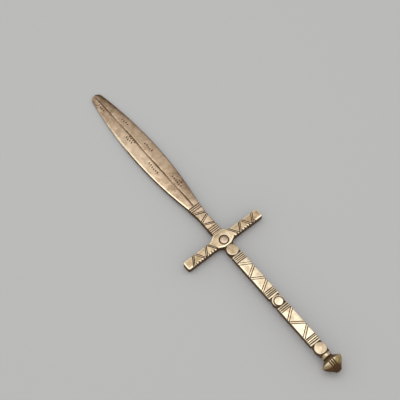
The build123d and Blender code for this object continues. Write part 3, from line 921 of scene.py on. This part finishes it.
bright_grip, dull_grip = (0.66, 0.56, 0.40, 1), (0.53, 0.42, 0.28, 1)
grip_brass = aged_brass("grip_brass", bright_grip, dull_grip, roughness=0.28)
make_grip("upper_grip", front_lines=4, stroke_count=4, back_lines=4, first=1, rub_and_highlight=0)
make_grip("lower_grip", front_lines=3, stroke_count=3, back_lines=4, first=-1, rub_and_highlight=0.85)

# Collar: a small turned brass ring, threaded on the tang between the last bead and the pommel,
# which clamps it. Its swell is worn and its two flat ends are brown with patina and painted shade.
COLLAR_POINTS = 20
COLLAR_NECK = 2.4 * MM
COLLAR_SQUARENESS = 0.6
# Patina and painted shade on the ends that face the bead and the pommel.
COLLAR_PATINA_AND_SHADE = 0.6

collar_low, collar_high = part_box("pommel_collar")
collar_length = collar_high.x - collar_low.x
collar_profile = []
for step in range(COLLAR_POINTS + 1):
    angle = pi / 2 - pi * step / COLLAR_POINTS
    swell = abs(cos(angle)) ** COLLAR_SQUARENESS
    along = copysign(collar_length / 2 * abs(sin(angle)) ** COLLAR_SQUARENESS, sin(angle))
    collar_profile.append((along, COLLAR_NECK + (collar_high.y - COLLAR_NECK) * swell))
collar_profile = [(collar_length / 2, 0), *collar_profile, (-collar_length / 2, 0)]
collar_middle = (collar_low + collar_high) / 2
collar = new_blank()
turn(collar, collar_profile, collar_middle, Vector((1, 0, 0)), Vector((0, 0, 1)), TURN_STEPS)
bright_collar, dull_collar = (0.60, 0.48, 0.33, 1), (0.34, 0.24, 0.14, 1)
collar_brass = aged_brass("pommel_brass", bright_collar, dull_collar, roughness=0.34)
# The ends get patina and painted shade.
finish_piece(collar, "pommel_collar", collar_brass,
             lambda face, vert: COLLAR_PATINA_AND_SHADE * face.normal.x**2)

# Pommel: a turned brass double cone screwed on the end of the tang, which it hides.
# Four groups of three cuts run down its back, and its rim is worn round and carries a painted
# highlight.
POMMEL_NECK_RADIUS = 2.6 * MM
POMMEL_RIM = 3.15 * MM
POMMEL_SWELL = 0.18 * MM
POMMEL_SWELL_LENGTH = 1.2 * MM
POMMEL_FRONT_SHARE = 0.08
POMMEL_BACK_SHARE = 0.35
POMMEL_END_RADIUS = 2.2 * MM
POMMEL_END_DOME = 1.0 * MM
POMMEL_GROUP_COUNT = 4
POMMEL_CUT_COUNT = 3
POMMEL_CUT_PITCH = 1.3 * MM
POMMEL_CUT_TURN = radians(12)
POMMEL_CUT_HALF_WIDTH = 0.42 * MM
POMMEL_CUT_DEPTH = 0.45 * MM
POMMEL_CUT_FACING = 0.2
# The rim's painted highlight is strongest on a plane through the axis tilted this far from upright.
POMMEL_HIGHLIGHT_TURN = radians(24)
# Patina and painted shade on the front cone, deepening towards the collar.
FRONT_PATINA_AND_SHADE = 0.22
FRONT_PATINA_AND_SHADE_RISE = 0.08 / MM
BACK_PATINA_RISE = 0.12 / MM
BACK_PATINA_SIDE_RISE = 0.14 / MM
BACK_PATINA_LIMIT = 0.5
RIM_EDGE = 0.1 * MM
RIM_HIGHLIGHT = 1.1
RIM_HIGHLIGHT_LENGTH = 5 * MM
CONE_POINTS = 8
END_DOME_POINTS = 4

pommel_low, pommel_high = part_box("pommel")
pommel_axis = Vector((pommel_high.x, 0, AXIS_HEIGHT))
pommel_highlight_side = Vector((0, sin(POMMEL_HIGHLIGHT_TURN), cos(POMMEL_HIGHLIGHT_TURN)))
pommel_radius = pommel_high.y
pommel_length = pommel_high.x - pommel_low.x
dome_start = pommel_length - POMMEL_END_DOME


def pommel_profile():
    """From the face on the collar up the front cone, over the worn rim, down to the end dome."""
    neck, end = Vector((0, POMMEL_NECK_RADIUS)), Vector((-dome_start, POMMEL_END_RADIUS))
    rim = Vector((-POMMEL_RIM, pommel_radius + POMMEL_SWELL))
    swell = rim - Vector((POMMEL_SWELL_LENGTH, POMMEL_SWELL / 2))
    front, back = rim.lerp(neck, POMMEL_FRONT_SHARE), swell.lerp(end, POMMEL_BACK_SHARE)
    shares = [step / CONE_POINTS for step in range(CONE_POINTS + 1)]
    points = [neck.lerp(front, share) for share in shares]
    points += interpolate_bezier(front, rim, swell, back, 2 * CONE_POINTS)[1:-1]
    points += [back.lerp(end, share) for share in shares]
    for step in range(1, END_DOME_POINTS):
        angle = pi / 2 * step / END_DOME_POINTS
        drop = POMMEL_END_DOME * sin(angle)
        points.append(Vector((-dome_start - drop, POMMEL_END_RADIUS * cos(angle))))
    return [(0, 0), *points, (-pommel_length, 0)]


def cut_down_the_back(angle, aside):
    """V cut from the rim to the end dome, aside of the plane through the axis at that angle."""
    radial = Vector((0, cos(angle), sin(angle)))
    sideways = Vector((0, -sin(angle), cos(angle)))
    middle = pommel_axis + sideways * aside
    for offset in (-POMMEL_CUT_HALF_WIDTH, 0, POMMEL_CUT_HALF_WIDTH):
        faces = [face for face in pommel.faces if face.normal.x < POMMEL_CUT_FACING
                 and (face.calc_center_median() - middle).dot(radial) > 0]
        split(pommel, faces, middle + sideways * offset, sideways)
    layer = pommel.verts.layers.float["cut"]
    for vert in pommel.verts:
        place = vert.co - middle
        share = 1 - abs(place.dot(sideways)) / POMMEL_CUT_HALF_WIDTH
        if share > 0 and place.dot(radial) > 0 and -dome_start < place.x < -POMMEL_RIM:
            vert.co -= radial * POMMEL_CUT_DEPTH * share
            vert[layer] = max(vert[layer], CUT_PATINA * share)


def pommel_surface(face, vert):
    """Patina and painted shade on the front cone, patina down one side of the back, and a painted
    highlight on the rim above and below.
    """
    place = vert.co - pommel_axis
    behind_rim = -place.x - POMMEL_RIM
    # Patina and painted shade on the front cone.
    if behind_rim < -RIM_EDGE:
        return FRONT_PATINA_AND_SHADE - FRONT_PATINA_AND_SHADE_RISE * behind_rim
    # Painted highlight on the rim, strongest above and below.
    height = abs(place.dot(pommel_highlight_side)) / pommel_radius
    rub_and_highlight = RIM_HIGHLIGHT * max(0, 2 * height - 1) * max(0, 1 - behind_rim / RIM_HIGHLIGHT_LENGTH)
    rise = BACK_PATINA_RISE + BACK_PATINA_SIDE_RISE * place.y / pommel_radius
    return min(BACK_PATINA_LIMIT, rise * behind_rim) - rub_and_highlight


pommel = new_blank()
turn(pommel, pommel_profile(), pommel_axis, Vector((1, 0, 0)), Vector((0, 0, 1)), TURN_STEPS)
for group in range(POMMEL_GROUP_COUNT):
    group_angle = pi / 2 - POMMEL_CUT_TURN + group * 2 * pi / POMMEL_GROUP_COUNT
    for number in range(POMMEL_CUT_COUNT):
        aside = (number - (POMMEL_CUT_COUNT - 1) / 2) * POMMEL_CUT_PITCH
        cut_down_the_back(group_angle, aside)
bright_pommel, dull_pommel = (0.60, 0.46, 0.24, 1), (0.38, 0.26, 0.11, 1)
pommel_brass = aged_brass("pommel_turned_brass", bright_pommel, dull_pommel, roughness=0.32)
finish_piece(pommel, "pommel", pommel_brass, pommel_surface)

# Desk, light and camera: the opener lies on its pommel and its tip on a plain pale desk,
# under a large soft lamp, seen from above its handle.
DESK_SIZE = 4.0
DESK_GREY = (0.49, 0.49, 0.485, 1)
DESK_ROUGHNESS = 0.7
TIP_REST = 1.5 * MM
pommel_rest = Vector((pommel_high.x - POMMEL_RIM, 0, pommel_low.z))
tip_rest = Vector((LEAF_TIP - TIP_REST, 0, AXIS_HEIGHT - LEAF_TIP_CROWN))
lean = atan2(tip_rest.z - pommel_rest.z, tip_rest.x - pommel_rest.x)
desk_place = Matrix.Translation(pommel_rest) @ Matrix.Rotation(-lean, 4, "Y")
origin_on_desk = Vector((-pommel_rest.x / cos(lean), 0, 0))

desk_mesh = bpy.data.meshes.new("desk")
desk_shape = bmesh.new()
bmesh.ops.create_grid(desk_shape, x_segments=1, y_segments=1, size=DESK_SIZE / 2,
                      matrix=desk_place)
desk_shape.to_mesh(desk_mesh)
desk_shape.free()
desk = bpy.data.objects.new("desk", desk_mesh)
bpy.context.scene.collection.objects.link(desk)
desk_paint = bpy.data.materials.new("desk_paint")
desk_paint.use_nodes = True
paint = desk_paint.node_tree.nodes["Principled BSDF"]
paint.inputs["Base Color"].default_value = DESK_GREY
paint.inputs["Roughness"].default_value = DESK_ROUGHNESS
desk_mesh.materials.append(desk_paint)

CAMERA_ANGLE = radians(23.115)
CAMERA_TARGET = Vector((32.54, -7.17, 0)) * MM
CAMERA_EYE = Vector((-170.26, 155.34, 557.32)) * MM
camera_target = desk_place @ (origin_on_desk + CAMERA_TARGET)
camera_eye = desk_place @ (origin_on_desk + CAMERA_EYE)
desk_up = desk_place.to_3x3() @ Vector((0, 0, 1))
view_back = (camera_eye - camera_target).normalized()
view_right = desk_up.cross(view_back).normalized()
view_up = view_back.cross(view_right)
camera_turn = Matrix((view_right, view_up, view_back)).transposed().to_4x4()
camera_data = bpy.data.cameras.new("camera")
camera_data.sensor_fit = "HORIZONTAL"
camera_data.angle = CAMERA_ANGLE
camera = bpy.data.objects.new("camera", camera_data)
camera.matrix_world = Matrix.Translation(camera_eye) @ camera_turn
bpy.context.scene.collection.objects.link(camera)
bpy.context.scene.camera = camera

LAMP_SIZE = 0.95
LAMP_DEPTH = 0.8
LAMP_HEIGHT = 1.0
LAMP_LEFT = 0.06
LAMP_AWAY = 0.08
LAMP_WATTS = 3.4
BRIGHT_SKY = (0.77, 0.77, 0.77, 1)
DARK_SKY = (0.38, 0.38, 0.38, 1)
DARK_SKY_RIGHT = 0.10
DARK_SKY_AWAY = 0.86
DARK_SKY_UP = 0.50
DARK_SKY_START = 0.70
DARK_SKY_FULL = 0.97
away = desk_up.cross(view_right)
world = bpy.data.worlds.new("studio")
world.use_nodes = True
bpy.context.scene.world = world
dark_side = view_right * DARK_SKY_RIGHT + away * DARK_SKY_AWAY + desk_up * DARK_SKY_UP
dark_side.normalize()
sky = Shade(world.node_tree).node("ShaderNodeTexCoord", {}, {}, "Generated")
facing = sky.node("ShaderNodeVectorMath", {"operation": "DOT_PRODUCT"},
                  {0: sky, 1: dark_side}, "Value")
sky_colour = facing.ease(DARK_SKY_START, DARK_SKY_FULL).blend(BRIGHT_SKY, DARK_SKY)
sky_colour.feed(world.node_tree.nodes["Background"].inputs["Color"])
lamp_data = bpy.data.lights.new("softbox", "AREA")
lamp_data.shape = "RECTANGLE"
lamp_data.size = LAMP_SIZE
lamp_data.size_y = LAMP_DEPTH
lamp_data.energy = LAMP_WATTS
lamp = bpy.data.objects.new("softbox", lamp_data)
lamp_spot = camera_target - view_right * LAMP_LEFT + away * LAMP_AWAY + desk_up * LAMP_HEIGHT
lamp_turn = Matrix((view_right, away, desk_up)).transposed().to_4x4()
lamp.matrix_world = Matrix.Translation(lamp_spot) @ lamp_turn
bpy.context.scene.collection.objects.link(lamp)

bpy.context.scene.view_settings.view_transform = "Standard"
